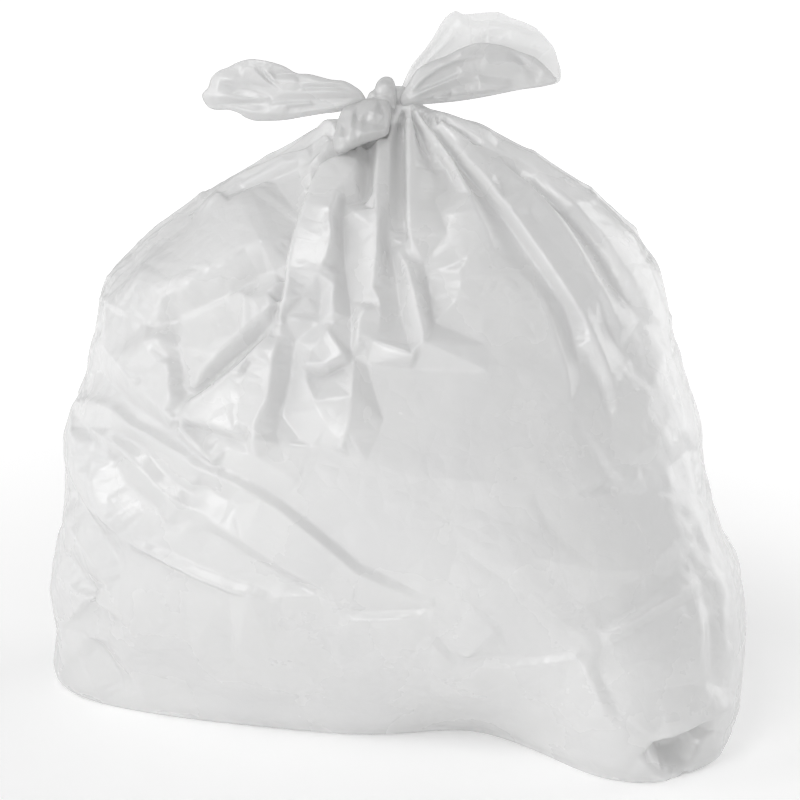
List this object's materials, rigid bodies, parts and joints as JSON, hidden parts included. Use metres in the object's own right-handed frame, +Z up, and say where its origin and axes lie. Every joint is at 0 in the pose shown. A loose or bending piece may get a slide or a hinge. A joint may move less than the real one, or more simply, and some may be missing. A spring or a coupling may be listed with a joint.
{
  "type": "filled tied bin bag",
  "caption": "Thin film bin bag, filled and slumped on its base, its gathered mouth tied in a knot with loose ears spread to the left and right.",
  "frame": {"origin": "on the floor, under the middle of the bag's outline seen from above", "axes": "+X to the bag's right, where the fanned ear and the forward base corner are; -Y out of its front; +Z up through the knot"},
  "size_m": [0.4616, 0.3062, 0.4549],
  "materials": {
    "film": "white translucent film"
  },
  "bodies": {
    "root": {"bag": "film"}
  },
  "joints": []
}
